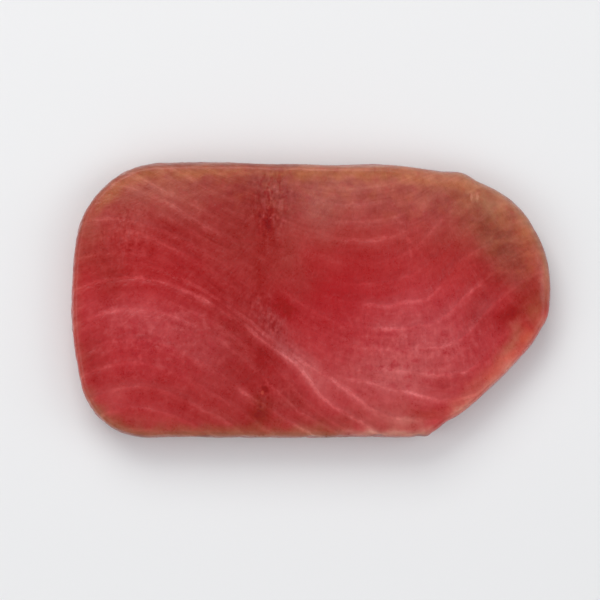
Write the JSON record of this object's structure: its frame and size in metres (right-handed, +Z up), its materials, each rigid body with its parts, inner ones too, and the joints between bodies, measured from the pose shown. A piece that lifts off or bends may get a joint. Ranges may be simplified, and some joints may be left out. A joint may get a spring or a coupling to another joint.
{
  "type": "raw tuna loin fillet",
  "caption": "Thick raw fish fillet: a flat red slab with a straight upper cut, a round shoulder, a blunt nose, a slanting cut and a round butt end, ready to cook or slice.",
  "frame": {"origin": "centre of the fillet's bounding box, on the flat face that it lies on", "axes": "+X along the fillet from the butt end to the nose, +Y across it towards the straight upper cut, +Z up through its thickness"},
  "size_m": [0.1864, 0.1072, 0.0182],
  "materials": {
    "raw_flesh": "moist raw tuna flesh: deep red with pale connective lines in nested arcs, browner along the skin side and at the cut rim, soft wet gloss"
  },
  "bodies": {
    "root": {"tuna_fillet": "raw_flesh"}
  },
  "joints": []
}
